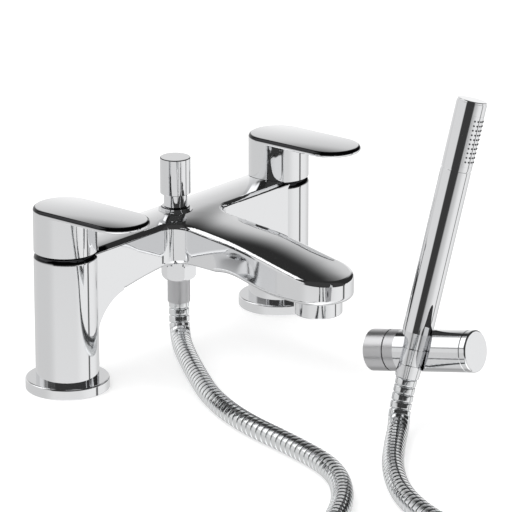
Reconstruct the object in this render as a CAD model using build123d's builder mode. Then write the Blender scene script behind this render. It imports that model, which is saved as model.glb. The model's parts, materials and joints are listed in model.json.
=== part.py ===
from build123d import *
import os
from math import asin, ceil, copysign, cos, degrees, pi, radians, sin, sqrt, tan

# Bath shower mixer with hose, slim handset and wall bracket, in millimetres
# X runs from the left inlet to the right inlet, the spout points along -Y, Z is up
# The origin is midway between the two inlets, on the deck that the mixer stands on

os.makedirs("parts", exist_ok=True)


def save(piece, name):
    """Label one finished sub-part and write it as its own file."""
    piece.part.label = name
    export_step(piece.part, f"parts/{name}.step")


# Clearances and overruns
running_gap = 0.05
fit_gap = 0.1
body_gap = 0.3
overrun = 5.0
wall_min = 1.0

# Inlets, legs and deck flanges
inlet_spacing = 180.0
inlet_x = inlet_spacing / 2
leg_radius = 17.25
seam_height = 77.4
flange_radius = 22.9
flange_height = 6.0
flange_edge = 0.9
spigot_radius = 14.5
inlet_radius = 12.1
inlet_depth = 16.0
inlet_way_radius = 7.0
seal_width = 3.6
seal_height = 1.6
seal_inner_radius = 16.2

# Bridge and spout of the casting
bridge_half_depth = 14.5
bridge_depth = 27.4
bridge_underside = seam_height - bridge_depth
arch_radius = 20.0
arch_slope = 10.1
belly_rise = 5.0
top_crown = 1.3
spout_reach = 101.0
spout_tip_radius = 19.2
spout_root_radius = 16.6
throat_radius = 11.0
spout_fall = 15.2
spout_rise = 5.6
top_line_shares = ((0.25, 0.04), (0.5, 0.25), (0.75, 0.64))
under_tip_share = 0.74
under_peak_share = 0.42
leg_top_edge = 4.0
top_edge_radius = 2.8
under_edge_radius = 3.0
boss_radius = 13.6
boss_y = -3.0
boss_drop = 4.8
boss_top = seam_height - boss_drop
boss_edge = 1.6

# Waterways inside the casting
way_radius = 4.6
way_drop = 13.9
way_height = seam_height - way_drop
spout_way_rise = 6.7

# Valve cartridges
valve_depth = 33.4
valve_floor = seam_height - valve_depth
valve_bore_radius = 10.4
cartridge_radius = 10.3
barrel_length = 27.0
cartridge_shoulder = valve_floor + barrel_length
neck_radius = 6.6
neck_rise = 6.6
neck_top = seam_height + neck_rise
hexagon_radius = 9.6
hexagon_height = 5.0
disc_radius = 8.3
disc_thickness = 2.5
disc_chamber_radius = 8.4
disc_window_radius = 2.2
disc_window_place = 4.4
disc_window_count = 2
disc_window_turn = 90.0
valve_seal_height = 2.0
valve_seal_wall = 3.0
port_radius = 3.0
spindle_radius = 4.0
spindle_foot_height = 2.6

# Levers
skirt_radius = 17.2
skirt_bore_radius = 14.6
plate_rise = 24.9
plate_top = seam_height + plate_rise
plate_thickness = 3.2
plate_tip_radius = 17.0
plate_reach = 54.6
plate_edge = 2.0
plate_under_edge = 1.1
hub_radius = 8.0
hub_rise = 8.0
hub_floor = seam_height + hub_rise
lever_roof = 2.7
lever_cavity_top = plate_top - plate_thickness - lever_roof
spindle_short = 1.4
spindle_top = lever_cavity_top - spindle_short
grub_radius = 2.5
grub_height = (hub_floor + spindle_top) / 2
grub_key_radius = 1.4
grub_key_depth = 2.4

# Diverter
knob_radius = 8.45
knob_height = 20.5
knob_rise = 7.4
knob_edge = 0.5
knob_neck_radius = 6.5
gland_radius = 8.0
gland_rise = 3.4
gland_top = seam_height + gland_rise
knob_bottom = gland_top + knob_rise
knob_top = knob_bottom + knob_height
gland_sunk = 0.5
gland_seat = seam_height + gland_sunk
gland_hold = 3.5
gland_floor = seam_height - gland_hold
gland_rim = 9.4
gland_rim_height = 1.2
gland_edge = 0.5
diverter_bore_radius = 8.1
diverter_floor_rise = 6.5
diverter_floor = bridge_underside + diverter_floor_rise
rod_radius = 2.4
rod_rise = 2.1
rod_bottom = diverter_floor + rod_rise
plunger_radius = 7.0
plunger_height = 2.4
plunger_seal_height = 1.6
gland_seal_height = 1.6
knob_socket_depth = 8.0

# Aerator under the tip of the spout
aerator_radius = 13.1
aerator_height = 9.2
aerator_drop = 0.2
aerator_top = bridge_underside - aerator_drop
aerator_bottom = aerator_top - aerator_height
spout_way_end = aerator_top + spout_way_rise
aerator_wall = 2.2
aerator_edge = 0.6
aerator_spigot_radius = 11.2
aerator_spigot_height = 4.0
insert_height = 5.0
insert_recess = 0.9
cell_radius = 1.35
cell_pitch = 3.4
cell_rows = 5
aerator_seal_height = 1.5

# Shower outlet and the hose end on it
outlet_y = -2.0
nipple_radius = 6.9
nipple_drop = 5.0
nipple_bottom = bridge_underside - nipple_drop
nipple_hold = 7.0
nipple_top = bridge_underside + nipple_hold
nipple_bore_radius = 4.4
nut_corner_radius = 9.8
nut_height = 10.4
nut_top = bridge_underside - body_gap
nut_bottom = nut_top - nut_height
nut_wall_floor = 1.6
nut_round = 2.6
connector_flange_radius = 6.5
connector_flange_height = 1.8
connector_neck_radius = 4.9
washer_height = 1.5
ferrule_radius = 6.3
ferrule_neck = 4.3
ferrule_grip = 9.3
hose_end_height = nut_bottom - ferrule_neck
ferrule_bottom = hose_end_height - ferrule_grip
barb_length = 9.0

# Hose: a double-lock metal hose of one diameter
hose_radius = 5.75
hose_bore_radius = 3.6
hose_height = 5.9
bend_share = 0.45
mixer_run_points = [
    (0, outlet_y, hose_end_height),
    (0, outlet_y, 14.2),
    (-5.6, -8.1, 5.9),
    (-19.5, -22.6, 5.9),
    (-43.0, -51.0, 5.9),
    (-67.5, -83.0, 5.9),
    (-84.5, -119.5, 5.9),
    (-93.5, -159.0, 5.9),
    (-106.0, -197.0, 5.9),
    (-133.0, -224.5, 5.9),
    (-165.0, -241.5, 5.9),
]
handset_run_points = [
    (-33.3, -181.9, 14.0),
    (-40.0, -186.5, 5.9),
    (-58.0, -198.0, 5.9),
    (-88.0, -219.0, 5.9),
    (-118.0, -246.0, 5.9),
    (-135.0, -284.0, 5.9),
    (-141.0, -323.0, 10.0),
]

# Coil of the spare hose: it winds inwards on the deck, climbs, and winds out on top
coil_centre = (-220.5, -326.5)
coil_radius = 57.5
coil_pitch = 12.4
coil_rise = 12.1
coil_turns = 2.55
coil_steps = 10
coil_start_turn = 107.0
coil_climb_share = 0.2
coil_end_length = 12.0
coil_lead_in = 36.0
coil_lead_out = 30.0

# Wall bracket and handset, which stand apart from the mixer
socket_center = (-26.3, -185.0, 45.0)
bracket_azimuth = -85.0
bracket_elevation = 10.5
handset_azimuth = -24.1
handset_elevation = 76.0
bracket_radius = 11.0
wall_reach = 24.2
rose_end = 12.9
cap_start = 35.2
cap_end = 38.7
cap_edge = 0.8
cap_spigot_radius = 7.0
cap_spigot_length = 4.0
holder_bore_radius = 7.2
friction_washer_height = 0.45
friction_washer_radius = 9.6
rose_bore_radius = 8.4
rose_floor = 3.4
wall_plate_radius = 8.2
wall_plate_height = 4.0
wall_screw_radius = 2.1
wall_screw_head_radius = 3.9
wall_screw_head_height = 2.2
pivot_radius = 2.0
pivot_head_radius = 3.6
pivot_head_height = 2.2
pivot_grip = 2.9
rose_grub_length = 2.2
rose_grub_radius = 1.5
slot_turn = -54.0
slot_width = 13.0

# Handset: cone nut, handle, spray head and nozzles
seat_share = 0.42
cone_nut_length = 24.7
cone_top_radius = 7.9
cone_bottom_radius = 6.4
cone_bore_radius = 6.3
cone_lip_radius = 4.6
cone_ring_depth = 0.25
cone_ring_width = 0.6
cone_ring_shares = (0.36, 0.72)
handle_radius = 8.0
handle_length = 87.4
handle_bore_radius = 6.6
head_length = 36.0
head_groove = 0.45
head_groove_width = 0.8
head_bore_radius = 6.5
end_cap_height = 1.2
end_cap_inset = 0.35
end_plug_radius = 6.4
end_plug_height = 4.0
inlet_thread_radius = 6.2
inlet_thread_length = 11.0
inlet_body_length = 12.0
inlet_thread_bore = 3.6
hose_washer_bore = 3.7
spray_plate_depth = 0.5
spray_plate_width_angle = 82.0
spray_plate_length = 27.0
spray_plate_start = 6.0
nozzle_rows = 10
nozzle_columns = 5
nozzle_pitch = 2.4
nozzle_turn = 15.0
nozzle_first = 8.6
nozzle_radius = 0.45
nozzle_proud = 0.25
nozzle_mat_depth = 0.8


# Directions of the bracket's axis and of the handset's axis
def direction(azimuth, elevation):
    """Unit vector at an azimuth from +X and an elevation from the deck, in degrees."""
    flat = cos(radians(elevation))
    return Vector(flat * cos(radians(azimuth)), flat * sin(radians(azimuth)), sin(radians(elevation)))


bracket_axis = direction(bracket_azimuth, bracket_elevation)
handset_axis = direction(handset_azimuth, handset_elevation)
nut_top_rise = seat_share * cone_nut_length
bracket_plane = Plane(origin=socket_center, x_dir=(1, 0, 0), z_dir=bracket_axis)
socket_plane = Plane(origin=socket_center, x_dir=bracket_axis, z_dir=handset_axis)
handset_plane = socket_plane.offset(nut_top_rise)


# Casting: one T-shaped bridge and spout on two legs
with BuildPart() as body_casting:
    # Plan outline of the bridge and spout, extruded past both faces
    lean = asin((spout_tip_radius - spout_root_radius) / spout_reach)
    with BuildSketch(Plane.XY.offset(bridge_underside - overrun)) as plan:
        Rectangle(inlet_spacing, 2 * bridge_half_depth)
        with BuildLine():
            root_right = (spout_root_radius * cos(lean), spout_root_radius * sin(lean))
            tip_right = (
                spout_tip_radius * cos(lean),
                spout_tip_radius * sin(lean) - spout_reach,
            )
            tip_left = (-tip_right[0], tip_right[1])
            root_left = (-root_right[0], root_right[1])
            Line(root_right, tip_right)
            ThreePointArc(tip_right, (0, -spout_reach - spout_tip_radius), tip_left)
            Line(tip_left, root_left)
            Line(root_left, root_right)
        make_face()
        corners = plan.vertices().filter_by(
            lambda v: abs(v.Y + bridge_half_depth) < fit_gap and abs(v.X) < inlet_x / 2
        )
        fillet(corners, throat_radius)
    extrude(amount=plate_top)
    # Side profile: crowned bridge, spout falling to its tip, underside rising and falling
    front = -spout_reach - spout_tip_radius - overrun
    reach = spout_reach + spout_tip_radius
    top_points = [
        (-along_share * reach, seam_height - down_share * spout_fall)
        for along_share, down_share in top_line_shares
    ]
    with BuildSketch(Plane.YZ.offset(-inlet_x)) as profile:
        with BuildLine():
            top_line = Spline(
                (bridge_half_depth, seam_height),
                (0, seam_height + top_crown),
                *top_points,
                (front, seam_height - spout_fall),
            )
            Line(top_line @ 1, (front, aerator_top))
            Line((front, aerator_top), (-under_tip_share * reach, aerator_top))
            under_line = Spline(
                (-under_tip_share * reach, aerator_top),
                (-under_peak_share * reach, bridge_underside + spout_rise),
                (-bridge_half_depth, bridge_underside),
                tangents=((1, 0), (1, 0)),
            )
            Line(under_line @ 1, (bridge_half_depth, bridge_underside))
            Line((bridge_half_depth, bridge_underside), (bridge_half_depth, seam_height))
        make_face()
    extrude(amount=inlet_spacing, mode=Mode.INTERSECT)
    # Belly: the underside rises in one long curve from leg to leg
    arch_run = arch_radius * (1 - sin(radians(arch_slope)))
    belly_half = inlet_x - leg_radius - arch_run
    with BuildSketch(Plane.XZ.offset(-bridge_half_depth)) as belly:
        with BuildLine():
            ThreePointArc(
                (-belly_half, bridge_underside),
                (0, bridge_underside + belly_rise),
                (belly_half, bridge_underside),
            )
            Line((belly_half, bridge_underside), (-belly_half, bridge_underside))
        make_face()
    extrude(amount=bridge_half_depth + under_peak_share * reach, mode=Mode.SUBTRACT)
    # Rounded upper rim, and softer lower rim of the spout
    within = inlet_x - fit_gap
    rims = body_casting.edges().filter_by(
        lambda e: abs(e.tangent_at(0.5).Z) < 0.9 and abs((e @ 0.5).X) < within
    )
    upper = rims.filter_by(lambda e: (e @ 0.5).Z > bridge_underside + under_edge_radius + spout_rise / 2)
    lower = rims.filter_by(
        lambda e: (e @ 0.5).Z < bridge_underside + spout_rise
        and (abs((e @ 0.5).X) > top_edge_radius or (e @ 0.5).Y < -spout_reach or (e @ 0.5).Y > 0)
    )
    fillet(upper, top_edge_radius)
    fillet(lower, under_edge_radius)
    # Legs with their arches, swept round each leg from the underside down
    leg_places = [(-inlet_x, 0), (inlet_x, 0)]
    arch_reach = leg_radius + arch_run
    arch_foot = bridge_underside - arch_radius * cos(radians(arch_slope))
    arch_roof = bridge_underside + under_edge_radius
    for x, y in leg_places:
        with BuildSketch(Plane.XZ) as arch:
            with BuildLine():
                RadiusArc(
                    (x + arch_reach, bridge_underside), (x + leg_radius, arch_foot), -arch_radius
                )
                Line((x + leg_radius, arch_foot), (x, arch_foot))
                Line((x, arch_foot), (x, arch_roof))
                Line((x, arch_roof), (x + arch_reach, arch_roof))
                Line((x + arch_reach, arch_roof), (x + arch_reach, bridge_underside))
            make_face()
        arch_ring = revolve(axis=Axis((x, y, 0), (0, 0, 1)), mode=Mode.PRIVATE)
        with Locations((x - copysign(arch_reach / 2, x), y, (arch_foot + arch_roof) / 2)):
            arch_block = Box(
                arch_reach, 2 * bridge_half_depth, arch_roof - arch_foot, mode=Mode.PRIVATE
            )
        add(arch_ring & arch_block)
    # The leg tops are cleared for the lever skirts where the crowned bridge rises past them
    with BuildSketch(Plane.XY.offset(seam_height)):
        with Locations(leg_places):
            Circle(leg_radius + body_gap)
    extrude(amount=top_crown + overrun, mode=Mode.SUBTRACT)
    for x, y in leg_places:
        with BuildSketch(Plane.XY.offset(flange_height)):
            with Locations((x, y)):
                Circle(leg_radius)
        leg = extrude(amount=seam_height - flange_height, mode=Mode.PRIVATE)
        leg = leg.fillet(leg_top_edge, leg.edges().filter_by(GeomType.CIRCLE).sort_by(Axis.Z)[-1:])
        add(leg)
    with BuildSketch():
        with Locations(leg_places):
            Circle(spigot_radius)
    extrude(amount=flange_height)
    # Boss of the shower outlet, proud of the bridge's front
    with BuildSketch(Plane.XY.offset(bridge_underside)):
        with Locations((0, boss_y)):
            Circle(boss_radius)
    boss = extrude(amount=boss_top - bridge_underside, mode=Mode.PRIVATE)
    boss = boss.fillet(boss_edge, boss.edges().filter_by(GeomType.CIRCLE).sort_by(Axis.Z)[-1:])
    add(boss)
    # Seat of the aerator under the tip
    with BuildSketch(Plane.XY.offset(aerator_top)):
        with Locations((0, -spout_reach)):
            Circle(aerator_spigot_radius + fit_gap)
    extrude(amount=aerator_spigot_height + aerator_seal_height, mode=Mode.SUBTRACT)
    # Inlet threads, inlet ways and valve chambers in the legs
    with BuildSketch():
        with Locations(leg_places):
            Circle(inlet_radius)
    extrude(amount=inlet_depth, mode=Mode.SUBTRACT)
    with BuildSketch(Plane.XY.offset(inlet_depth)):
        with Locations(leg_places):
            Circle(inlet_way_radius)
    extrude(amount=valve_floor - inlet_depth, mode=Mode.SUBTRACT)
    with BuildSketch(Plane.XY.offset(valve_floor)):
        with Locations(leg_places):
            Circle(valve_bore_radius)
    extrude(amount=seam_height - valve_floor, mode=Mode.SUBTRACT)
    # Diverter chamber from the top, shower outlet from below
    with BuildSketch(Plane.XY.offset(diverter_floor)):
        Circle(diverter_bore_radius)
    extrude(amount=seam_height + top_crown + overrun - diverter_floor, mode=Mode.SUBTRACT)
    with BuildSketch(Plane.XY.offset(gland_seat)):
        Circle(gland_rim + fit_gap)
    extrude(amount=top_crown + overrun, mode=Mode.SUBTRACT)
    with BuildSketch(Plane.XY.offset(nipple_bottom)):
        with Locations((0, outlet_y)):
            Circle(nipple_radius + fit_gap)
    extrude(amount=nipple_top - nipple_bottom, mode=Mode.SUBTRACT)
    # Cross way between the valves, and the way out along the spout
    with BuildSketch(Plane.YZ.offset(-inlet_x)):
        with Locations((0, way_height)):
            Circle(way_radius)
    extrude(amount=inlet_spacing, mode=Mode.SUBTRACT)
    way_start = Vector(0, 0, way_height)
    way_end = Vector(0, -spout_reach, spout_way_end)
    with BuildSketch(Plane(origin=way_start, x_dir=(1, 0, 0), z_dir=way_end - way_start)):
        Circle(way_radius)
    extrude(amount=(way_end - way_start).length, mode=Mode.SUBTRACT)
    with BuildSketch(Plane.XY.offset(aerator_top)):
        with Locations((0, -spout_reach)):
            Circle(way_radius)
    extrude(amount=spout_way_end + way_radius / 2 - aerator_top, mode=Mode.SUBTRACT)
save(body_casting, "body_casting")


# Deck flanges with their seals, one pair for each leg
for side, x in (("left", -inlet_x), ("right", inlet_x)):
    with BuildPart() as flange:
        with BuildSketch(Plane((x, 0, 0))):
            Circle(flange_radius)
            Circle(spigot_radius + fit_gap, mode=Mode.SUBTRACT)
        extrude(amount=flange_height)
        with BuildSketch(Plane((x, 0, 0))):
            Circle(seal_inner_radius + seal_width)
            Circle(seal_inner_radius, mode=Mode.SUBTRACT)
        extrude(amount=seal_height, mode=Mode.SUBTRACT)
        rims = flange.edges().filter_by(GeomType.CIRCLE)
        fillet(rims.group_by(Axis.Z)[-1].sort_by(SortBy.RADIUS)[-1:], flange_edge)
        fillet(
            flange.edges().filter_by(GeomType.CIRCLE).group_by(Axis.Z)[0].sort_by(SortBy.RADIUS)[-1:],
            flange_edge / 2,
        )
    save(flange, f"{side}_deck_flange")

    with BuildPart() as base_seal:
        with BuildSketch(Plane((x, 0, 0))):
            Circle(seal_inner_radius + seal_width)
            Circle(seal_inner_radius, mode=Mode.SUBTRACT)
        extrude(amount=seal_height)
    save(base_seal, f"{side}_base_seal")

    # Rubber seal, fixed disc and moving disc, stacked on the valve floor
    with BuildPart() as valve_seal:
        with BuildSketch(Plane((x, 0, valve_floor))):
            Circle(disc_radius)
            Circle(disc_radius - valve_seal_wall, mode=Mode.SUBTRACT)
        extrude(amount=valve_seal_height)
    save(valve_seal, f"{side}_valve_seal")

    fixed_floor = valve_floor + valve_seal_height
    with BuildPart() as fixed_disc:
        with BuildSketch(Plane((x, 0, fixed_floor))):
            Circle(disc_radius)
            with PolarLocations(disc_window_place, disc_window_count, start_angle=disc_window_turn):
                Circle(disc_window_radius, mode=Mode.SUBTRACT)
        extrude(amount=disc_thickness)
    save(fixed_disc, f"{side}_fixed_disc")

    moving_floor = fixed_floor + disc_thickness + running_gap
    with BuildPart() as moving_disc:
        with BuildSketch(Plane((x, 0, moving_floor))):
            Circle(disc_radius)
            with PolarLocations(disc_window_place, disc_window_count):
                Circle(disc_window_radius, mode=Mode.SUBTRACT)
        extrude(amount=disc_thickness)
    save(moving_disc, f"{side}_moving_disc")

    # Spindle: a foot that carries the moving disc, and a stem up into the lever
    foot_floor = moving_floor + disc_thickness
    with BuildPart() as spindle:
        with BuildSketch(Plane((x, 0, foot_floor))):
            Circle(disc_radius)
        extrude(amount=spindle_foot_height)
        with BuildSketch(Plane((x, 0, foot_floor))):
            Circle(spindle_radius)
        extrude(amount=spindle_top - foot_floor)
        chamfer(spindle.edges().group_by(Axis.Z)[-1], running_gap + body_gap)
    save(spindle, f"{side}_spindle")

    # Cartridge body: chamber for the discs, screwed barrel, hexagon and neck
    chamber_roof = foot_floor + spindle_foot_height + running_gap
    with BuildPart() as cartridge:
        with BuildSketch(Plane((x, 0, fixed_floor))):
            Circle(cartridge_radius)
        extrude(amount=cartridge_shoulder - fixed_floor)
        with BuildSketch(Plane((x, 0, cartridge_shoulder))):
            Circle(neck_radius)
        extrude(amount=neck_top - cartridge_shoulder)
        with BuildSketch(Plane((x, 0, cartridge_shoulder))):
            RegularPolygon(hexagon_radius, 6)
        extrude(amount=hexagon_height)
        with BuildSketch(Plane((x, 0, fixed_floor))):
            Circle(disc_chamber_radius)
        extrude(amount=chamber_roof - fixed_floor, mode=Mode.SUBTRACT)
        with BuildSketch(Plane((x, 0, chamber_roof))):
            Circle(spindle_radius + running_gap)
        extrude(amount=neck_top - chamber_roof, mode=Mode.SUBTRACT)
        with BuildSketch(Plane.YZ.offset(x)):
            with Locations((0, chamber_roof - port_radius - wall_min)):
                Circle(port_radius)
        extrude(amount=cartridge_radius + overrun, both=True, mode=Mode.SUBTRACT)
    save(cartridge, f"{side}_valve_cartridge")

    # Lever: hollow skirt, paddle plate with a round tip, and the hub on the spindle
    with BuildPart() as lever:
        with BuildSketch(Plane((x, 0, seam_height + body_gap))):
            Circle(skirt_radius)
        extrude(amount=plate_top - plate_edge - seam_height - body_gap)
        with BuildSketch(Plane((x, 0, plate_top - plate_thickness))) as paddle:
            Circle(skirt_radius)
            with Locations((0, plate_tip_radius - plate_reach)):
                Circle(plate_tip_radius)
            with BuildLine():
                tip_y = plate_tip_radius - plate_reach
                Polyline(
                    (-skirt_radius, 0),
                    (skirt_radius, 0),
                    (plate_tip_radius, tip_y),
                    (-plate_tip_radius, tip_y),
                    close=True,
                )
            make_face()
        plate = extrude(amount=plate_thickness, mode=Mode.PRIVATE)
        plate = plate.fillet(plate_under_edge, plate.edges().group_by(Axis.Z)[0])
        plate = plate.fillet(plate_edge, plate.edges().group_by(Axis.Z)[-1])
        add(plate)
        with BuildSketch(Plane((x, 0, seam_height + body_gap))):
            Circle(skirt_bore_radius)
        extrude(amount=lever_cavity_top - seam_height - body_gap, mode=Mode.SUBTRACT)
        with BuildSketch(Plane((x, 0, hub_floor))):
            Circle(hub_radius)
        extrude(amount=lever_cavity_top - hub_floor)
        with BuildSketch(Plane((x, 0, hub_floor))):
            Circle(spindle_radius + running_gap)
        extrude(amount=spindle_top + body_gap - hub_floor, mode=Mode.SUBTRACT)
        with BuildSketch(Plane((x, 0, grub_height), x_dir=(1, 0, 0), z_dir=(0, 1, 0))):
            Circle(grub_radius)
        extrude(amount=skirt_radius + overrun, mode=Mode.SUBTRACT)
    save(lever, f"{side}_lever")

    # Grub screw from the back of the skirt onto the spindle
    with BuildPart() as grub:
        with BuildSketch(
            Plane((x, spindle_radius + running_gap, grub_height), x_dir=(1, 0, 0), z_dir=(0, 1, 0))
        ):
            Circle(grub_radius)
        extrude(amount=hub_radius + overrun - spindle_radius)
        with BuildSketch(
            Plane(
                (x, hub_radius + overrun + running_gap, grub_height), x_dir=(1, 0, 0), z_dir=(0, -1, 0)
            )
        ):
            RegularPolygon(grub_key_radius, 6)
        extrude(amount=grub_key_depth, mode=Mode.SUBTRACT)
    save(grub, f"{side}_lever_screw")


# Diverter: gland screwed into the bridge, rod and plunger below, knob above
with BuildPart() as gland:
    with BuildSketch(Plane.XY.offset(gland_floor)):
        Circle(gland_radius)
    extrude(amount=gland_top - gland_floor)
    chamfer(gland.edges().group_by(Axis.Z)[-1], gland_edge)
    with BuildSketch(Plane.XY.offset(gland_seat)):
        Circle(gland_rim)
    extrude(amount=gland_rim_height)
    with BuildSketch(Plane.XY.offset(gland_floor)):
        Circle(rod_radius + running_gap)
    extrude(amount=gland_top - gland_floor, mode=Mode.SUBTRACT)
save(gland, "diverter_gland")

with BuildPart() as gland_seal:
    with BuildSketch(Plane.XY.offset(gland_floor - gland_seal_height)):
        Circle(gland_radius)
        Circle(rod_radius + body_gap, mode=Mode.SUBTRACT)
    extrude(amount=gland_seal_height)
save(gland_seal, "diverter_gland_seal")

with BuildPart() as rod:
    with BuildSketch(Plane.XY.offset(rod_bottom)):
        Circle(rod_radius)
    extrude(amount=knob_bottom + knob_socket_depth - rod_bottom)
save(rod, "diverter_rod")

with BuildPart() as plunger:
    with BuildSketch(Plane.XY.offset(rod_bottom + plunger_seal_height)):
        Circle(plunger_radius)
        Circle(rod_radius, mode=Mode.SUBTRACT)
    extrude(amount=plunger_height)
save(plunger, "diverter_plunger")

with BuildPart() as plunger_seal:
    with BuildSketch(Plane.XY.offset(rod_bottom)):
        Circle(plunger_radius)
        Circle(rod_radius, mode=Mode.SUBTRACT)
    extrude(amount=plunger_seal_height)
save(plunger_seal, "diverter_plunger_seal")

with BuildPart() as knob:
    with BuildSketch(Plane.XY.offset(knob_bottom)):
        Circle(knob_radius)
    extrude(amount=knob_top - knob_bottom)
    fillet(knob.edges().group_by(Axis.Z)[-1], knob_edge)
    fillet(knob.edges().group_by(Axis.Z)[0], knob_edge / 2)
    with BuildSketch(Plane.XY.offset(gland_top + body_gap)):
        Circle(knob_neck_radius)
    extrude(amount=knob_bottom - gland_top - body_gap)
    with BuildSketch(Plane.XY.offset(gland_top + body_gap)):
        Circle(rod_radius)
    extrude(amount=knob_bottom + knob_socket_depth - gland_top - body_gap, mode=Mode.SUBTRACT)
save(knob, "diverter_knob")


# Aerator: housing screwed under the tip, its insert of small cells, and the seal above
with BuildPart() as housing:
    with BuildSketch(Plane.XY.offset(aerator_bottom)):
        with Locations((0, -spout_reach)):
            Circle(aerator_radius)
    extrude(amount=aerator_top - aerator_bottom)
    fillet(housing.edges().group_by(Axis.Z)[0], aerator_edge)
    with BuildSketch(Plane.XY.offset(aerator_top)):
        with Locations((0, -spout_reach)):
            Circle(aerator_spigot_radius)
    extrude(amount=aerator_spigot_height)
    with BuildSketch(Plane.XY.offset(aerator_bottom)):
        with Locations((0, -spout_reach)):
            Circle(aerator_radius - aerator_wall)
    extrude(amount=insert_recess + insert_height, mode=Mode.SUBTRACT)
    with BuildSketch(Plane.XY.offset(aerator_bottom)):
        with Locations((0, -spout_reach)):
            Circle(aerator_spigot_radius - aerator_wall)
    extrude(amount=aerator_top + aerator_spigot_height - aerator_bottom, mode=Mode.SUBTRACT)
save(housing, "aerator_housing")

with BuildPart() as insert:
    with BuildSketch(Plane.XY.offset(aerator_bottom + insert_recess)):
        with Locations((0, -spout_reach)):
            Circle(aerator_radius - aerator_wall)
            with HexLocations(cell_pitch / 2, cell_rows, cell_rows):
                RegularPolygon(cell_radius, 6, mode=Mode.SUBTRACT)
    extrude(amount=insert_height)
save(insert, "aerator_insert")

with BuildPart() as aerator_seal:
    with BuildSketch(Plane.XY.offset(aerator_top + aerator_spigot_height)):
        with Locations((0, -spout_reach)):
            Circle(aerator_spigot_radius)
            Circle(aerator_spigot_radius - aerator_wall, mode=Mode.SUBTRACT)
    extrude(amount=aerator_seal_height)
save(aerator_seal, "aerator_seal")


# Shower outlet: nipple, nut, washer, hose connector and ferrule on one upright axis
outlet = (0, outlet_y)
with BuildPart() as nipple:
    with BuildSketch(Plane.XY.offset(nipple_bottom)):
        with Locations(outlet):
            Circle(nipple_radius)
            Circle(nipple_bore_radius, mode=Mode.SUBTRACT)
    extrude(amount=nipple_top - nipple_bottom)
save(nipple, "outlet_nipple")

with BuildPart() as hose_nut:
    with BuildSketch(Plane.XY.offset(nut_bottom)):
        with Locations(outlet):
            RegularPolygon(nut_corner_radius, 6)
    extrude(amount=nut_top - nut_bottom)
    with BuildSketch(Plane.XY.offset(nut_bottom)):
        with Locations(outlet):
            Circle(nut_corner_radius)
    envelope = extrude(amount=nut_top - nut_bottom, mode=Mode.PRIVATE)
    envelope = envelope.fillet(nut_round, envelope.edges().filter_by(GeomType.CIRCLE))
    add(envelope, mode=Mode.INTERSECT)
    with BuildSketch(Plane.XY.offset(nut_bottom + nut_wall_floor)):
        with Locations(outlet):
            Circle(nipple_radius + fit_gap)
    extrude(amount=nut_top - nut_bottom, mode=Mode.SUBTRACT)
    with BuildSketch(Plane.XY.offset(nut_bottom)):
        with Locations(outlet):
            Circle(connector_neck_radius + fit_gap)
    extrude(amount=nut_wall_floor, mode=Mode.SUBTRACT)
save(hose_nut, "hose_nut")

flange_floor = nipple_bottom - washer_height - connector_flange_height
with BuildPart() as washer:
    with BuildSketch(Plane.XY.offset(nipple_bottom - washer_height)):
        with Locations(outlet):
            Circle(connector_flange_radius)
            Circle(hose_washer_bore, mode=Mode.SUBTRACT)
    extrude(amount=washer_height)
save(washer, "hose_washer")

with BuildPart() as connector:
    with BuildSketch(Plane.XY.offset(flange_floor)):
        with Locations(outlet):
            Circle(connector_flange_radius)
    extrude(amount=connector_flange_height)
    with BuildSketch(Plane.XY.offset(hose_end_height)):
        with Locations(outlet):
            Circle(connector_neck_radius)
    extrude(amount=flange_floor - hose_end_height)
    with BuildSketch(Plane.XY.offset(hose_end_height - barb_length)):
        with Locations(outlet):
            Circle(hose_bore_radius - running_gap)
    extrude(amount=barb_length)
    with BuildSketch(Plane.XY.offset(hose_end_height - barb_length)):
        with Locations(outlet):
            Circle(hose_bore_radius - running_gap - wall_min)
    extrude(amount=nipple_bottom - hose_end_height + barb_length, mode=Mode.SUBTRACT)
save(connector, "hose_connector")

with BuildPart() as ferrule:
    with BuildSketch(Plane.XY.offset(ferrule_bottom)):
        with Locations(outlet):
            Circle(ferrule_radius)
            Circle(hose_radius + running_gap, mode=Mode.SUBTRACT)
    extrude(amount=hose_end_height - ferrule_bottom)
    with BuildSketch(Plane.XY.offset(hose_end_height)):
        with Locations(outlet):
            Circle(ferrule_radius)
            Circle(connector_neck_radius + running_gap, mode=Mode.SUBTRACT)
    extrude(amount=nut_bottom - hose_end_height)
save(ferrule, "hose_ferrule")


# Wall bracket: rose on its wall plate, and the holder that turns on the rose
wall_plane = bracket_plane.offset(-wall_reach)
rose_floor_plane = bracket_plane.offset(-rose_end - rose_floor)
holder_start = rose_end - friction_washer_height - running_gap
holder_plane = bracket_plane.offset(-holder_start)
holder_end = cap_start - body_gap
with BuildPart() as rose:
    with BuildSketch(wall_plane):
        Circle(bracket_radius)
    extrude(amount=wall_reach - rose_end)
    with BuildSketch(wall_plane):
        Circle(rose_bore_radius)
    extrude(amount=wall_reach - rose_end - rose_floor, mode=Mode.SUBTRACT)
    with BuildSketch(wall_plane):
        Circle(pivot_radius + running_gap)
    extrude(amount=wall_reach - rose_end, mode=Mode.SUBTRACT)
    with BuildSketch(
        Plane(
            wall_plane.origin + bracket_axis * (wall_plate_height / 2),
            x_dir=bracket_axis,
            z_dir=-wall_plane.y_dir,
        )
    ):
        Circle(rose_grub_radius)
    extrude(amount=bracket_radius + overrun, mode=Mode.SUBTRACT)
save(rose, "wall_rose")

with BuildPart() as rose_screw:
    with BuildSketch(
        Plane(
            wall_plane.origin
            + bracket_axis * (wall_plate_height / 2)
            - wall_plane.y_dir * (wall_plate_radius + running_gap),
            x_dir=bracket_axis,
            z_dir=-wall_plane.y_dir,
        )
    ):
        Circle(rose_grub_radius)
    extrude(amount=rose_grub_length)
save(rose_screw, "wall_rose_screw")

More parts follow.
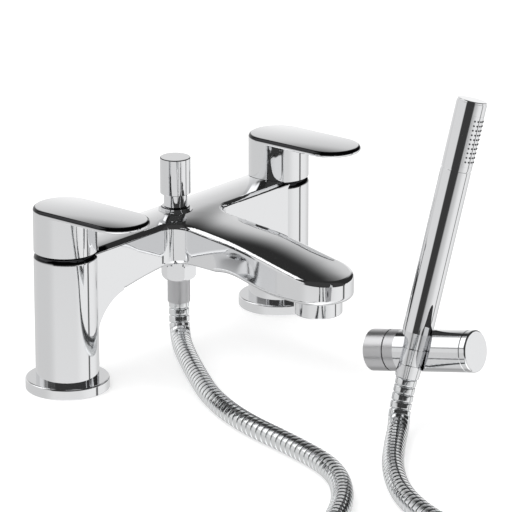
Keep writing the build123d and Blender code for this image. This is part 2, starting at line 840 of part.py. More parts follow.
with BuildPart() as wall_plate:
    with BuildSketch(wall_plane):
        Circle(wall_plate_radius)
        Circle(wall_screw_radius, mode=Mode.SUBTRACT)
    extrude(amount=wall_plate_height)
    with BuildSketch(wall_plane.offset(wall_plate_height - wall_screw_head_height)):
        Circle(wall_screw_head_radius)
    extrude(amount=wall_screw_head_height, mode=Mode.SUBTRACT)
save(wall_plate, "wall_plate")

with BuildPart() as friction_washer:
    with BuildSketch(bracket_plane.offset(-rose_end)):
        Circle(friction_washer_radius)
        Circle(pivot_radius + running_gap, mode=Mode.SUBTRACT)
    extrude(amount=friction_washer_height)
save(friction_washer, "friction_washer")

with BuildPart() as pivot_screw:
    with BuildSketch(rose_floor_plane.offset(-running_gap)):
        Circle(pivot_head_radius)
    extrude(amount=-pivot_head_height)
    with BuildSketch(rose_floor_plane.offset(-running_gap)):
        Circle(pivot_radius)
    extrude(amount=running_gap + rose_floor + rose_end - holder_start + pivot_grip)
save(pivot_screw, "pivot_screw")

# Holder with the tapered socket for the cone nut, and the slot that lets the hose in
cone_slope = (cone_top_radius - cone_bottom_radius) / cone_nut_length
slot_overrun = 4 * bracket_radius + cone_nut_length
nut_bottom_plane = handset_plane.offset(-cone_nut_length)
slot_frame = handset_plane.rotated((0, 0, slot_turn))
with BuildPart() as holder:
    with BuildSketch(holder_plane):
        Circle(bracket_radius)
    extrude(amount=holder_start + holder_end)
    ends = holder.edges().filter_by(GeomType.CIRCLE)
    chamfer(ends, body_gap)
    with BuildSketch(handset_plane.offset(-cone_nut_length)):
        Circle(cone_bottom_radius + running_gap)
    with BuildSketch(handset_plane):
        Circle(cone_top_radius + running_gap)
    loft(mode=Mode.SUBTRACT)
    with BuildSketch(handset_plane):
        Circle(handle_radius + body_gap)
    extrude(amount=bracket_radius, mode=Mode.SUBTRACT)
    with BuildSketch(handset_plane.offset(-cone_nut_length)):
        Circle(cone_bottom_radius + running_gap)
    extrude(amount=-bracket_radius, mode=Mode.SUBTRACT)
    with BuildSketch(slot_frame.offset(-2 * bracket_radius - cone_nut_length)):
        with Locations((bracket_radius, 0)):
            Rectangle(2 * bracket_radius, slot_width)
    extrude(amount=slot_overrun, mode=Mode.SUBTRACT)
    with BuildSketch(bracket_plane.offset(cap_start - cap_spigot_length)):
        Circle(holder_bore_radius)
    extrude(amount=cap_spigot_length, mode=Mode.SUBTRACT)
    with BuildSketch(holder_plane):
        Circle(pivot_radius)
    extrude(amount=pivot_grip, mode=Mode.SUBTRACT)
save(holder, "handset_holder")

with BuildPart() as cap:
    with BuildSketch(bracket_plane.offset(cap_start)):
        Circle(bracket_radius)
    extrude(amount=cap_end - cap_start)
    cap_rims = cap.edges().filter_by(GeomType.CIRCLE)
    fillet(cap_rims.sort_by(Axis(socket_center, tuple(bracket_axis)))[-1:], cap_edge)
    with BuildSketch(bracket_plane.offset(cap_start)):
        Circle(cap_spigot_radius)
    extrude(amount=-cap_spigot_length)
save(cap, "holder_cap")


# Handset: cone nut with its two ring lines, on the thread of the inlet
def nut_radius(depth):
    """Outer radius of the cone nut at a depth under its top."""
    return cone_top_radius - cone_slope * depth


thread_end = inlet_thread_length
washer_end = thread_end + washer_height
flange_end = washer_end + connector_flange_height
with BuildPart() as cone_nut:
    with BuildSketch(nut_bottom_plane):
        Circle(cone_bottom_radius)
    with BuildSketch(handset_plane):
        Circle(cone_top_radius)
    loft()
    for share in cone_ring_shares:
        depth = share * cone_nut_length
        with BuildSketch(handset_plane.offset(-depth)):
            Circle(cone_top_radius + overrun)
            Circle(nut_radius(depth) - cone_ring_depth, mode=Mode.SUBTRACT)
        extrude(amount=cone_ring_width, mode=Mode.SUBTRACT)
    with BuildSketch(handset_plane):
        Circle(cone_bore_radius)
    extrude(amount=-flange_end, mode=Mode.SUBTRACT)
    with BuildSketch(handset_plane):
        Circle(cone_lip_radius)
    extrude(amount=-cone_nut_length, mode=Mode.SUBTRACT)
save(cone_nut, "cone_nut")

with BuildPart() as tail:
    with BuildSketch(handset_plane.offset(-flange_end)):
        Circle(inlet_thread_radius)
    extrude(amount=connector_flange_height)
    with BuildSketch(nut_bottom_plane):
        Circle(cone_lip_radius - fit_gap)
    extrude(amount=cone_nut_length - flange_end)
    with BuildSketch(nut_bottom_plane):
        Circle(inlet_thread_bore)
    extrude(amount=cone_nut_length, mode=Mode.SUBTRACT)
save(tail, "handset_hose_tail")

with BuildPart() as inlet_washer:
    with BuildSketch(handset_plane.offset(-washer_end)):
        Circle(inlet_thread_radius)
        Circle(hose_washer_bore, mode=Mode.SUBTRACT)
    extrude(amount=washer_height)
save(inlet_washer, "handset_washer")

with BuildPart() as inlet:
    with BuildSketch(handset_plane.offset(-thread_end)):
        Circle(inlet_thread_radius)
    extrude(amount=thread_end)
    with BuildSketch(handset_plane):
        Circle(handle_bore_radius)
    extrude(amount=inlet_body_length)
    with BuildSketch(handset_plane.offset(-thread_end)):
        Circle(inlet_thread_bore)
    extrude(amount=thread_end + inlet_body_length, mode=Mode.SUBTRACT)
save(inlet, "handset_inlet")

with BuildPart() as handle:
    with BuildSketch(handset_plane):
        Circle(handle_radius)
        Circle(handle_bore_radius, mode=Mode.SUBTRACT)
    extrude(amount=handle_length)
save(handle, "handset_handle")

# Spray head: a tube with a recess for the spray plate, and windows for its nozzles
head_plane = handset_plane.offset(handle_length)
plate_low = head_length - spray_plate_start - spray_plate_length


def face_patch(inner, outer, gap):
    """Curved patch of the spray face between two radii, its four sides in by a gap."""
    turn = radians(spray_plate_width_angle / 2) - gap / outer
    ends = []
    for radius in (inner, outer):
        ends.append([(radius * cos(a), radius * sin(a)) for a in (-turn, turn)])
    (low_in, high_in), (low_out, high_out) = ends
    with BuildPart() as patch:
        with BuildSketch(head_plane.offset(plate_low + gap)):
            with BuildLine():
                ThreePointArc(low_out, (outer, 0), high_out)
                Line(high_out, high_in)
                ThreePointArc(high_in, (inner, 0), low_in)
                Line(low_in, low_out)
            make_face()
        extrude(amount=spray_plate_length - 2 * gap)
    return patch.part


def nozzle_pins(radius, start, end):
    """All the nozzle pins between two radii, each square to the curved face."""
    pins = []
    half_turn = nozzle_turn * (nozzle_columns - 1) / 2
    for row in range(nozzle_rows):
        height = head_length - nozzle_first - row * nozzle_pitch
        for column in range(nozzle_columns):
            turn = radians(nozzle_turn * column - half_turn)
            out = head_plane.x_dir * cos(turn) + head_plane.y_dir * sin(turn)
            foot = head_plane.origin + head_plane.z_dir * height + out * start
            pin = Solid.make_cylinder(radius, end - start, Plane(foot, z_dir=out))
            pins.append(pin)
    return pins


plate_inner = handle_radius - spray_plate_depth
with BuildPart() as head:
    with BuildSketch(head_plane):
        Circle(handle_radius)
        Circle(head_bore_radius, mode=Mode.SUBTRACT)
    extrude(amount=head_length)
    with BuildSketch(head_plane):
        Circle(handle_radius + overrun)
        Circle(handle_radius - head_groove, mode=Mode.SUBTRACT)
    extrude(amount=head_groove_width, mode=Mode.SUBTRACT)
    add(face_patch(plate_inner, handle_radius + overrun, 0), mode=Mode.SUBTRACT)
    add(face_patch(head_bore_radius - overrun, plate_inner + running_gap, wall_min), mode=Mode.SUBTRACT)
save(head, "spray_head")

with BuildPart() as spray_plate:
    add(face_patch(plate_inner, handle_radius, running_gap))
    add(nozzle_pins(nozzle_radius + running_gap, plate_inner - wall_min, handle_radius + wall_min),
        mode=Mode.SUBTRACT)
save(spray_plate, "spray_plate")

with BuildPart() as nozzles:
    add(face_patch(plate_inner - nozzle_mat_depth, plate_inner, wall_min + fit_gap))
    add(nozzle_pins(nozzle_radius, plate_inner - nozzle_mat_depth / 2, handle_radius + nozzle_proud))
save(nozzles, "spray_nozzles")

with BuildPart() as end_cap:
    with BuildSketch(head_plane.offset(head_length)):
        Circle(handle_radius - end_cap_inset)
    extrude(amount=end_cap_height)
    outer_face = end_cap.faces().sort_by(Axis(tuple(head_plane.origin), tuple(handset_axis)))[-1:]
    fillet(outer_face.edges(), end_cap_inset)
    with BuildSketch(head_plane.offset(head_length)):
        Circle(end_plug_radius)
    extrude(amount=-end_plug_height)
save(end_cap, "handset_end_cap")


# Hose: the run from the mixer, the spare length in a coil, and the run up to the handset
hose_section = pi * (hose_radius**2 - hose_bore_radius**2)


def bend_radii(points):
    """Largest bend at each inner point that its two runs allow."""
    radii = []
    for before, here, after in zip(points, points[1:], points[2:]):
        run_in = Vector(here) - Vector(before)
        run_out = Vector(after) - Vector(here)
        turn = radians(run_in.get_angle(run_out))
        radii.append(bend_share * min(run_in.length, run_out.length) / tan(turn / 2))
    return radii


def hose_run(points, name):
    """One free run of the hose as a tube on straight runs and tangent arcs."""
    radii = bend_radii(points)
    with BuildPart() as run:
        with BuildLine() as route:
            FilletPolyline(*points, radius=radii)
        start = Vector(points[0])
        for radius, how in ((hose_radius, Mode.ADD), (hose_bore_radius, Mode.SUBTRACT)):
            with BuildSketch(Plane(start, z_dir=Vector(points[1]) - start)):
                Circle(radius)
            sweep(path=route.wire(), mode=how)
    length = route.wire().length
    print(name, "bends", [round(r, 1) for r in radii], "length", round(length, 1))
    print("  volume over section times length", round(run.part.volume / (hose_section * length), 4))
    save(run, name)


def coil_knot(share):
    """Point and heading of the coil at a share of its turns, anticlockwise from above."""
    turn = radians(coil_start_turn + 360 * coil_turns * share)
    inward = 1 if share < 0.5 else -1 if share > 0.5 else 0
    radius = coil_radius - coil_pitch * coil_turns * min(share, 1 - share)
    climbed = min(max((share - 0.5) / coil_climb_share + 0.5, 0), 1)
    height = hose_height + coil_rise * climbed**2 * (3 - 2 * climbed)
    climb = coil_rise * 6 * climbed * (1 - climbed) / (coil_climb_share * 2 * pi * coil_turns)
    out = Vector(cos(turn), sin(turn), 0)
    along = Vector(-sin(turn), cos(turn), 0)
    place = Vector(*coil_centre, height) + out * radius
    heading = along * radius - out * (inward * coil_pitch / (2 * pi)) + Vector(0, 0, climb)
    return place, heading.normalized()


def biarc(start, start_heading, end, end_heading):
    """Two tangent arcs from one point and heading to another."""
    gap = start - end
    both = start_heading + end_heading
    spread = 2 * (1 - start_heading.dot(end_heading))
    reach = (gap.dot(both) + sqrt(gap.dot(both) ** 2 + spread * gap.dot(gap))) / spread
    middle = (start + start_heading * reach + end - end_heading * reach) / 2
    first = TangentArc(start, middle, tangent=start_heading)
    TangentArc(middle, end, tangent=first % 1)


knots = [coil_knot(step / coil_steps) for step in range(coil_steps + 1)]
coil_start = knots[0][0] - knots[0][1] * coil_end_length
coil_end = knots[-1][0] + knots[-1][1] * coil_end_length
with BuildPart() as hose_coil:
    with BuildLine() as coil_route:
        Line(coil_start, knots[0][0])
        for (start, start_heading), (end, end_heading) in zip(knots, knots[1:]):
            biarc(start, start_heading, end, end_heading)
        Line(knots[-1][0], coil_end)
    for radius, how in ((hose_radius, Mode.ADD), (hose_bore_radius, Mode.SUBTRACT)):
        with BuildSketch(Plane(coil_start, z_dir=knots[0][1])):
            Circle(radius)
        sweep(path=coil_route.wire(), mode=how)
coil_wire = coil_route.wire()
coil_length = coil_wire.length
sample_count = int(coil_length / hose_bore_radius)
samples = [coil_wire.position_at(i / sample_count) for i in range(sample_count + 1)]
apart = ceil(4 * hose_radius * sample_count / coil_length)
least = min(
    (samples[i] - samples[j]).length
    for i in range(len(samples))
    for j in range(i + apart, len(samples))
)
print("hose_coil length", round(coil_length, 1), "least gap to itself", round(least - 2 * hose_radius, 2))
print("  volume over section times length", round(hose_coil.part.volume / (hose_section * coil_length), 4))
save(hose_coil, "hose_coil")

lead_in = coil_start - knots[0][1] * coil_lead_in
lead_out = coil_end + knots[-1][1] * coil_lead_out
tail_end = nut_bottom_plane.origin - handset_axis * body_gap
hose_run(
    [Vector(*point) for point in mixer_run_points] + [lead_in, coil_start], "hose_mixer_run"
)
hose_run(
    [tail_end] + [Vector(*point) for point in handset_run_points] + [lead_out, coil_end],
    "hose_handset_run",
)
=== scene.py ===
import json
from math import cos, pi, radians, sin, tau
import bpy
import numpy as np
from bpy.props import FloatProperty, FloatVectorProperty, IntProperty, PointerProperty
from mathutils import Matrix, Vector


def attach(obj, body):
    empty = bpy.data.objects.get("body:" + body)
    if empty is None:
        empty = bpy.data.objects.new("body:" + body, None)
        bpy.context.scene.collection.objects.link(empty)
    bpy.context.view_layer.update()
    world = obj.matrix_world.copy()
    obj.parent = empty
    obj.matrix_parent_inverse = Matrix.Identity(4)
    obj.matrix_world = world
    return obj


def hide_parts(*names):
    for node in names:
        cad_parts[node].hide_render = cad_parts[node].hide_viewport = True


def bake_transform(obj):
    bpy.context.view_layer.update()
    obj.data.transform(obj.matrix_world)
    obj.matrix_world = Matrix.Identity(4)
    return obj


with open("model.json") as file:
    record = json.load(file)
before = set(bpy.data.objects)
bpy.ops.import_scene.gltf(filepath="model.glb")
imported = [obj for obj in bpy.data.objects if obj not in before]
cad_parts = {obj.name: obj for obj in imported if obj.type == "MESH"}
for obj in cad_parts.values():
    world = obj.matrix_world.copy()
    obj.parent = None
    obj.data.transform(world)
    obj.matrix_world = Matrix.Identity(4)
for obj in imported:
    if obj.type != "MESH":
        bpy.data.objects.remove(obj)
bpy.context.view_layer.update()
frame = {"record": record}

bl_info = {
    "name": "Bath shower mixer",
    "version": (1, 0, 0),
    "blender": (4, 5, 0),
    "location": "View3D > Sidebar > Mixer",
    "description": "Finishes, hose and stage of a deck-mounted bath shower mixer",
    "category": "Object",
}

# Height of the hose's centreline where it lies on the deck
REST_HEIGHT = 0.0059

# Route of the hose in metres: the run from the mixer, and the run down from the handset
MIXER_RUN = (
    (0, -0.002, 0.035),
    (0, -0.002, 0.0142),
    (-0.0056, -0.0081, REST_HEIGHT),
    (-0.0195, -0.0226, REST_HEIGHT),
    (-0.043, -0.051, REST_HEIGHT),
    (-0.0675, -0.083, REST_HEIGHT),
    (-0.0845, -0.1195, REST_HEIGHT),
    (-0.0935, -0.159, REST_HEIGHT),
    (-0.106, -0.197, REST_HEIGHT),
    (-0.133, -0.2245, REST_HEIGHT),
    (-0.165, -0.2415, REST_HEIGHT),
)
HANDSET_RUN = (
    (-0.0333, -0.1819, 0.014),
    (-0.04, -0.1865, REST_HEIGHT),
    (-0.058, -0.198, REST_HEIGHT),
    (-0.088, -0.219, REST_HEIGHT),
    (-0.1155, -0.2475, REST_HEIGHT),
    (-0.1335, -0.2855, REST_HEIGHT),
    (-0.141, -0.323, 0.01),
)

# End of the hose in the handset, and the place from which it follows the handset
HANDSET_TOP = (-0.029389, -0.183619, 0.030709)

# Depth of the hose's groove, in shares of the deepest, at shares of one pitch
RIB_PLACES = (0, 0.04, 0.08, 0.12, 0.18, 0.34, 0.50, 0.66, 0.82, 0.88, 0.92, 0.96)
RIB_DEPTHS = (1, 0.85, 0.30, 0.05, 0.015, 0.003, 0, 0.003, 0.015, 0.05, 0.30, 0.85)

# Axis of the wall bracket and the place on it where its satin part ends
BRACKET_AXIS = (0.0857, -0.9795, 0.1822)
BRACKET_MIDDLE = (-0.0268, -0.1791, 0.0439)

# Distance of either leg from the middle of the mixer
LEG_OFFSET = 0.09

# Colours that settings don't change
# Painted dark reflection on rounded rims, in place of the dark ceiling they would show
PAINTED_RIM_REFLECTION = (0.03, 0.03, 0.032)
# Painted shade at the bottom of the hose's grooves
PAINTED_GROOVE_SHADE = (0.05, 0.05, 0.055)
BRASS_COLOUR = (0.70, 0.52, 0.25)
FLOOR_COLOUR = (0.86, 0.86, 0.86)
WHITE = (1, 1, 1)

# Brightness of the studio's parts; a pair is the value at the horizon and its change with height
FRONT_FLOOR = (0.32, 1.1)
BACK_FLOOR = (0.74, -0.45)
RIGHT_FLOOR = 0.78
LEFT_FLOOR = 0.58
BACK_WALL = (0.86, -0.75)
LEFT_WALL = 0.66
SCREEN = 0.04
STRIP = 0.12
CEILING = 0.025
FRONT_CEILING = 0.02
SOFTBOX = 1.2

# Width of the picture in pixels
PICTURE_WIDTH = 512


class HoseSettings(bpy.types.PropertyGroup):
    """Sizes of the metal hose and of the coil of its spare length."""

    radius: FloatProperty(
        name="Radius", description="Outer radius of the hose", default=0.00575, unit="LENGTH"
    )
    pitch: FloatProperty(
        name="Pitch", description="Length of one turn of the metal strip", default=0.0043,
        unit="LENGTH",
    )
    groove: FloatProperty(
        name="Groove", description="Depth of the groove between bands", default=0.001, unit="LENGTH"
    )
    sides: IntProperty(name="Sides", description="Points round the hose", default=22, min=8)
    rest_height: FloatProperty(
        name="Rest height", description="Height of the centreline on the deck", default=REST_HEIGHT,
        unit="LENGTH",
    )
    coil_centre: FloatVectorProperty(
        name="Coil centre", description="Centre of the coil on the deck", size=2,
        default=(-0.2205, -0.3265), unit="LENGTH",
    )
    coil_radius: FloatProperty(
        name="Coil radius", description="Largest radius of the coil", default=0.0575, unit="LENGTH"
    )
    coil_pitch: FloatProperty(
        name="Coil pitch", description="Change of radius in one turn", default=0.0124, unit="LENGTH"
    )
    coil_rise: FloatProperty(
        name="Coil rise", description="Height of the upper layer over the lower", default=0.0121,
        unit="LENGTH",
    )
    coil_turns: FloatProperty(name="Coil turns", description="Turns in the coil", default=2.55)
    coil_climb: FloatProperty(
        name="Coil climb", description="Share of the turns in which the coil climbs", default=0.2
    )
    coil_start: FloatProperty(
        name="Coil start", description="Place round the coil where it begins",
        default=radians(107), unit="ROTATION",
    )
    coil_end_length: FloatProperty(
        name="Coil ends", description="Straight length at each end of the coil", default=0.012,
        unit="LENGTH",
    )
    lead_in: FloatProperty(
        name="Lead in", description="Straight run into the coil", default=0.036, unit="LENGTH"
    )
    lead_out: FloatProperty(
        name="Lead out", description="Straight run out of the coil", default=0.030, unit="LENGTH"
    )


class FinishSettings(bpy.types.PropertyGroup):
    """Colours and gloss of the finishes."""

    chrome: FloatVectorProperty(
        name="Chrome", description="Colour of the chrome plate", size=3, subtype="COLOR",
        default=(0.83, 0.835, 0.845), min=0, max=1,
    )
    satin: FloatVectorProperty(
        name="Satin", description="Colour of the satin metal", size=3, subtype="COLOR",
        default=(0.60, 0.60, 0.61), min=0, max=1,
    )
    polish: FloatProperty(
        name="Polish", description="Roughness of polished chrome", default=0.035, min=0, max=1
    )
    crown: FloatProperty(
        name="Crown", description="Tilt of the shading per metre across spout and levers",
        default=9.0,
    )


class StageSettings(bpy.types.PropertyGroup):
    """Camera, floor and studio light."""

    camera_azimuth: FloatProperty(
        name="Camera azimuth", description="Turn of the camera from looking along +Y",
        default=radians(50.47), unit="ROTATION",
    )
    camera_elevation: FloatProperty(
        name="Camera elevation", description="Height angle of the camera",
        default=radians(18.14), unit="ROTATION",
    )
    camera_distance: FloatProperty(
        name="Camera distance", description="Distance to the target", default=2.045, unit="LENGTH"
    )
    camera_scale: FloatProperty(
        name="Camera scale", description="Pixels for a millimetre at the target", default=1.79
    )
    target_right: FloatProperty(
        name="Target right", description="Place of the target along the camera's right",
        default=0.04442, unit="LENGTH",
    )
    target_up: FloatProperty(
        name="Target up", description="Place of the target along the camera's up",
        default=0.04869, unit="LENGTH",
    )
    even_light: FloatProperty(
        name="Even light", description="Brightness of the light from all round", default=0.75
    )
    mirror_gain: FloatProperty(
        name="Mirror gain", description="Brightness of the studio that metal shows", default=1.2
    )
    floor_size: FloatProperty(
        name="Floor size", description="Side of the floor", default=24.0, unit="LENGTH"
    )
    floor_lift: FloatProperty(
        name="Floor lift", description="Glow that makes the floor white in the picture",
        default=0.45,
    )
    softbox_power: FloatProperty(
        name="Softbox power", description="Power of the key light", default=14.0, unit="POWER"
    )
    softbox_size: FloatVectorProperty(
        name="Softbox size", description="Width and height of the key light", size=2,
        default=(1.6, 1.2), unit="LENGTH",
    )
    softbox_place: FloatVectorProperty(
        name="Softbox place", description="Place of the key light, which faces the mixer",
        size=3, default=(-1.1, 0.2, 2.1), unit="LENGTH",
    )


# Meshes from arrays of points


def grid_mesh(name, points, tube=False):
    """Mesh of a grid of points[i, j], whose squares join neighbours in both directions.

    In a tube the last column joins the first, and one polygon closes each end, in the order
    that keeps its face outwards.
    """
    rows, columns = points.shape[:2]
    index = np.arange(rows * columns).reshape(rows, columns)
    if tube:
        index = np.concatenate([index, index[:, :1]], axis=1)
    quads = np.stack(
        [index[:-1, :-1], index[1:, :-1], index[1:, 1:], index[:-1, 1:]], axis=-1
    ).reshape(-1, 4)
    faces = quads.tolist()
    if tube:
        faces.append(index[0, :columns].tolist())
        faces.append(index[-1, :columns].tolist()[::-1])
    mesh = bpy.data.meshes.new(name)
    mesh.from_pydata(points.reshape(-1, 3).tolist(), [], faces)
    mesh.validate()
    mesh.shade_smooth()
    return mesh


def place(name, mesh, material):
    """Object of a mesh at the origin, with one material."""
    piece = bpy.data.objects.new(name, mesh)
    bpy.context.scene.collection.objects.link(piece)
    mesh.materials.clear()
    mesh.materials.append(material)
    return piece


# Hose


def unit(vectors):
    """Rows of an array scaled to length one."""
    return vectors / np.maximum(np.linalg.norm(vectors, axis=-1, keepdims=True), 1e-12)


def coil_points(hose):
    """Control points of the coil and of its two straight ends.

    At a share s of the turns the place is centre + radius(s) * (cos t, sin t), with
    t = start + 2 pi turns s, radius = largest - pitch turns min(s, 1 - s), and a height
    that climbs smoothly over some of the turns round the middle. A control polygon of n
    points a turn is drawn out by 1 / cos(pi / n), so that its curve keeps the radius.
    """
    per_turn = 16
    count = int(round(hose.coil_turns * per_turn))
    share = np.linspace(0, 1, count + 1)
    turn = hose.coil_start + tau * hose.coil_turns * share
    radius = hose.coil_radius - hose.coil_pitch * hose.coil_turns * np.minimum(share, 1 - share)
    climbed = np.clip((share - 0.5) / hose.coil_climb + 0.5, 0, 1)
    height = hose.rest_height + hose.coil_rise * climbed**2 * (3 - 2 * climbed)
    out = np.stack([np.cos(turn), np.sin(turn), 0 * turn], axis=-1)
    along = np.stack([-np.sin(turn), np.cos(turn), 0 * turn], axis=-1)
    inward = np.where(share < 0.5, 1, -1)[:, None]
    centre = np.array([hose.coil_centre[0], hose.coil_centre[1], 0])
    lift = np.stack([0 * turn, 0 * turn, height], axis=-1)
    on_turns = centre + out * radius[:, None] + lift
    heading = unit(along * radius[:, None] - out * inward * hose.coil_pitch / tau)
    start = on_turns[0] - heading[0] * hose.coil_end_length
    end = on_turns[-1] + heading[-1] * hose.coil_end_length
    draw = 1 / cos(pi / per_turn)
    pulled = centre + out * (radius * draw)[:, None] + lift
    lead_in = start - heading[0] * hose.lead_in
    lead_out = end + heading[-1] * hose.lead_out
    return lead_in, start, pulled[1:-1], end, lead_out


def spline_line(name, points):
    """Points along the NURBS spline whose control points are the route's points."""
    curve = bpy.data.curves.new(name, "CURVE")
    curve.dimensions = "3D"
    curve.resolution_u = 12
    spline = curve.splines.new("NURBS")
    spline.points.add(len(points) - 1)
    flat = np.column_stack([points, np.ones(len(points))]).ravel()
    spline.points.foreach_set("co", flat)
    spline.order_u = 3
    spline.use_endpoint_u = True
    holder = bpy.data.objects.new(name, curve)
    mesh = bpy.data.meshes.new_from_object(holder)
    line = np.empty(len(mesh.vertices) * 3)
    mesh.vertices.foreach_get("co", line)
    line = line.reshape(-1, 3)
    bpy.data.objects.remove(holder)
    bpy.data.curves.remove(curve)
    bpy.data.meshes.remove(mesh)
    step = np.linalg.norm(np.diff(line, axis=0), axis=1)
    return line[np.concatenate([[True], step > 1e-7])]


def frames_along(line, places):
    """Points, side vectors and up vectors at places along a line, given as arc lengths.

    The side vector is the level one square to the line. Where the line is upright it is
    carried over from its neighbours, and the up vector is the cross product of the two.
    """
    step = np.linalg.norm(np.diff(line, axis=0), axis=1)
    arc = np.concatenate([[0], np.cumsum(step)])

    def between(where, known, vectors):
        return np.stack([np.interp(where, known, vectors[:, k]) for k in range(3)], axis=-1)

    reach, least_level = 0.0012, 0.35
    along = unit(between(places + reach, arc, line) - between(places - reach, arc, line))
    level = np.hypot(along[:, 0], along[:, 1])
    side = unit(np.stack([-along[:, 1], along[:, 0], 0 * level], axis=-1))
    good = level > least_level
    side = between(places, places[good], side[good])
    side = unit(side - along * np.sum(side * along, axis=-1, keepdims=True))
    return between(places, arc, line), side, np.cross(along, side)


def hose_tube(name, line, hose, material):
    """Ribbed hose along a line, closed at both ends.

    Along each pitch the radius is that of a broad, nearly flat band and a narrow groove;
    round the line a point stands at radius * (cos, sin).
    """
    length = np.linalg.norm(np.diff(line, axis=0), axis=1).sum()
    turns = int(round(length / hose.pitch))
    places = ((np.arange(turns)[:, None] + np.array(RIB_PLACES)) / turns * length).ravel()
    places = np.append(places, length)
    depth = np.append(np.tile(RIB_DEPTHS, turns), RIB_DEPTHS[0])
    radius = hose.radius - hose.groove * depth
    points, side, up = frames_along(line, places)
    angle = np.arange(hose.sides) / hose.sides * tau
    ring = (
        side[:, None] * np.cos(angle)[None, :, None] + up[:, None] * np.sin(angle)[None, :, None]
    )
    skin = points[:, None] + ring * radius[:, None, None]
    mesh = grid_mesh(name, skin, tube=True)
    groove = mesh.attributes.new("groove", "FLOAT", "POINT")
    groove.data.foreach_set("value", np.repeat(depth, hose.sides))
    return place(name, mesh, material), length


# Materials


def feed(tree, value, slot):
    """Put a constant or another node's output on an input."""
    if isinstance(value, bpy.types.NodeSocket):
        tree.links.new(value, slot)
    else:
        slot.default_value = value


def smooth_step(tree, value, low, high):
    """Smooth rise from 0 at low to 1 at high; low may lie above high for a fall."""
    node = tree.nodes.new("ShaderNodeMapRange")
    node.interpolation_type = "SMOOTHSTEP"
    falls = low > high
    node.inputs["From Min"].default_value = min(low, high)
    node.inputs["From Max"].default_value = max(low, high)
    node.inputs["To Min"].default_value = 1 if falls else 0
    node.inputs["To Max"].default_value = 0 if falls else 1
    tree.links.new(value, node.inputs["Value"])
    return node.outputs["Result"]


def maths(tree, operation, *values):
    """One Math node of values or sockets."""
    node = tree.nodes.new("ShaderNodeMath")
    node.operation = operation
    for slot, value in enumerate(values):
        feed(tree, value, node.inputs[slot])
    return node.outputs["Value"]


def paint(tree, under, mask, level):
    """Brightness under with a level painted over it where the mask is 1."""
    node = tree.nodes.new("ShaderNodeMix")
    node.data_type = "FLOAT"
    for slot, value in ((0, mask), (2, under), (3, level)):
        feed(tree, value, node.inputs[slot])
    return node.outputs[0]


def product(tree, *values):
    """Product of several sockets."""
    result = values[0]
    for value in values[1:]:
        result = maths(tree, "MULTIPLY", result, value)
    return result


def vector_maths(tree, operation, first, second=None):
    """One Vector Math node; some operations take one value only."""
    node = tree.nodes.new("ShaderNodeVectorMath")
    node.operation = operation
    feed(tree, first, node.inputs[0])
    if second is not None:
        feed(tree, second, node.inputs["Scale"] if operation == "SCALE" else node.inputs[1])
    return node.outputs["Value" if operation == "DOT_PRODUCT" else "Vector"]


def separate(tree, vector):
    """X, Y and Z of a vector."""
    node = tree.nodes.new("ShaderNodeSeparateXYZ")
    tree.links.new(vector, node.inputs["Vector"])
    return node.outputs["X"], node.outputs["Y"], node.outputs["Z"]


def use_group(tree, group, **inputs):
    """Node of a group, with constants or sockets on its named inputs."""
    node = tree.nodes.new("ShaderNodeGroup")
    node.node_tree = group
    for name, value in inputs.items():
        feed(tree, value, node.inputs[name.replace("_", " ")])
    return node


def new_group(name, inputs, outputs):
    """Empty group with its entry and exit; each socket is a name, a kind and a default."""
    group = bpy.data.node_groups.new(name, "ShaderNodeTree")
    for side, sockets in (("INPUT", inputs), ("OUTPUT", outputs)):
        for label, kind, default in sockets:
            socket = group.interface.new_socket(
                label, in_out=side, socket_type="NodeSocket" + kind
            )
            if default is not None:
                socket.default_value = default
    return group, group.nodes.new("NodeGroupInput"), group.nodes.new("NodeGroupOutput")


def new_material(name):
    """Empty node material with a Principled shader and its output."""
    material = bpy.data.materials.new(name)
    material.use_nodes = True
    tree = material.node_tree
    tree.nodes.clear()
    output = tree.nodes.new("ShaderNodeOutputMaterial")
    shader = tree.nodes.new("ShaderNodeBsdfPrincipled")
    tree.links.new(shader.outputs["BSDF"], output.inputs["Surface"])
    return material, tree, shader


def principled(material):
    """Node tree and Principled shader of a material."""
    tree = material.node_tree
    return tree, next(node for node in tree.nodes if node.type == "BSDF_PRINCIPLED")


def recolour(material, share, first, second):
    """Colour a material from the first colour, at share 0, to the second, at share 1."""
    tree, shader = principled(material)
    mix = tree.nodes.new("ShaderNodeMix")
    mix.data_type = "RGBA"
    mix.inputs[6].default_value = (*first, 1)
    mix.inputs[7].default_value = (*second, 1)
    tree.links.new(share, mix.inputs[0])
    tree.links.new(mix.outputs[2], shader.inputs["Base Color"])


def micro_wear_group():
    """Group that gives a roughness and a normal for a handled surface.

    Roughness is base + spread * noise at the smear scale; the normal comes from the same
    kind of noise at the grain scale.
    """
    group, entry, leave = new_group(
        "handled metal",
        (
            ("Roughness", "Float", 0.04), ("Spread", "Float", 0.02),
            ("Smear Scale", "Float", 60.0), ("Grain Scale", "Float", 900.0),
            ("Grain Height", "Float", 0.00001),
        ),
        (("Roughness", "Float", None), ("Normal", "Vector", None)),
    )
    coordinates = group.nodes.new("ShaderNodeTexCoord")
    noises = []
    for scale, detail in (("Smear Scale", 4), ("Grain Scale", 2)):
        noise = group.nodes.new("ShaderNodeTexNoise")
        noise.inputs["Detail"].default_value = detail
        group.links.new(coordinates.outputs["Object"], noise.inputs["Vector"])
        group.links.new(entry.outputs[scale], noise.inputs["Scale"])
        noises.append(noise.outputs["Fac"])
    smear, grain = noises
    rough = maths(
        group, "MULTIPLY_ADD", smear, entry.outputs["Spread"], entry.outputs["Roughness"]
    )
    bump = group.nodes.new("ShaderNodeBump")
    bump.inputs["Strength"].default_value = 1.0
    group.links.new(entry.outputs["Grain Height"], bump.inputs["Distance"])
    group.links.new(grain, bump.inputs["Height"])
    group.links.new(rough, leave.inputs["Roughness"])
    group.links.new(bump.outputs["Normal"], leave.inputs["Normal"])
    return group


